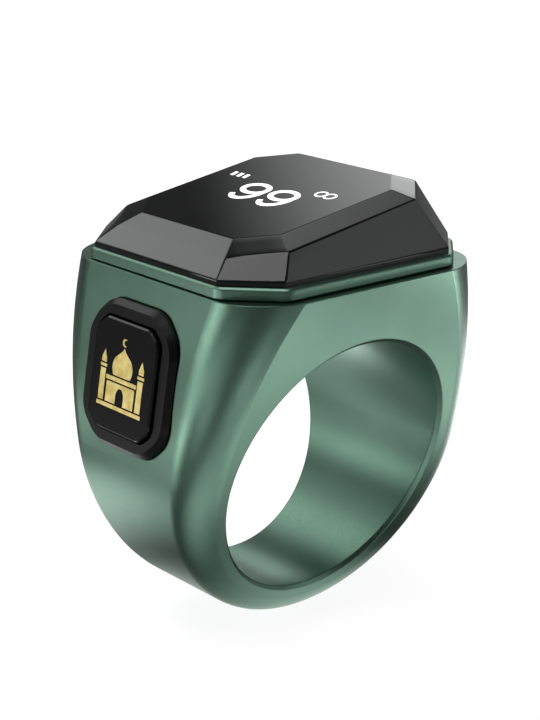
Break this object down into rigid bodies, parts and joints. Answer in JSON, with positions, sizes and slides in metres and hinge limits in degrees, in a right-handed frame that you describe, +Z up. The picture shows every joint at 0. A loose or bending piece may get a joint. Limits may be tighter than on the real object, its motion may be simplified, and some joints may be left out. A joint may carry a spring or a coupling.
{
  "type": "digital tasbih ring",
  "caption": "Finger-worn digital tasbih: a tapered metal ring with a faceted tilted display head, a push button on one flank and its counting electronics inside.",
  "frame": {"origin": "middle of the finger bore, on its axis", "axes": "+Y along the finger through the bore, +Z up to the display head, -X towards the push button"},
  "size_m": [0.0281, 0.0228, 0.0325],
  "materials": {
    "battery_foil": "foil pouch",
    "foam": "closed-cell foam",
    "contact_brass": "gold plated",
    "green_metal": "satin anodised",
    "chip_plastic": "moulded",
    "silicone": "matt",
    "black_plastic": "fine satin",
    "magnet_metal": "nickel plated",
    "adhesive": "soft film",
    "display_glass": "polished",
    "flex_film": "smooth film",
    "smoked_lens": "polished dark tint",
    "circuit_board": "solder mask",
    "motor_steel": "brushed",
    "plunger_plastic": "moulded"
  },
  "bodies": {
    "ring": {"battery_cell": "battery_foil", "battery_pad": "foam", "battery_tabs": "contact_brass", "bezel_frame": "green_metal", "board_components": "chip_plastic", "board_gasket": "silicone", "button_bezel": "black_plastic", "button_seal": "silicone", "charging_magnets": "magnet_metal", "charging_pins": "contact_brass", "contact_bushes": "chip_plastic", "controller_chip": "chip_plastic", "display_bond": "adhesive", "display_carrier": "black_plastic", "display_panel": "display_glass", "display_ribbon": "flex_film", "flex_connector": "black_plastic", "lens": "smoked_lens", "lens_adhesive": "adhesive", "main_board": "circuit_board", "motor_base": "motor_steel", "motor_can": "motor_steel", "motor_leads": "contact_brass", "motor_shaft": "motor_steel", "ring_body": "green_metal", "switch_base": "black_plastic", "switch_cover": "motor_steel", "switch_flex": "flex_film"},
    "button": {"button_cap": "black_plastic", "switch_plunger": "plunger_plastic", "switch_dome": "motor_steel"},
    "rotor": {"motor_rotor": "motor_steel"}
  },
  "joints": [
    {"name": "button_press", "type": "slide", "parent": "ring", "child": "button", "axis": [0.987, 0, -0.1606], "range_m": [0, 0.00025], "stiffness_N_per_m": 4000},
    {"name": "motor_spin", "type": "hinge", "parent": "ring", "child": "rotor", "pos_m": [0.0056, 0.0014, 0.012], "axis": [0, 0, 1], "continuous": true}
  ]
}
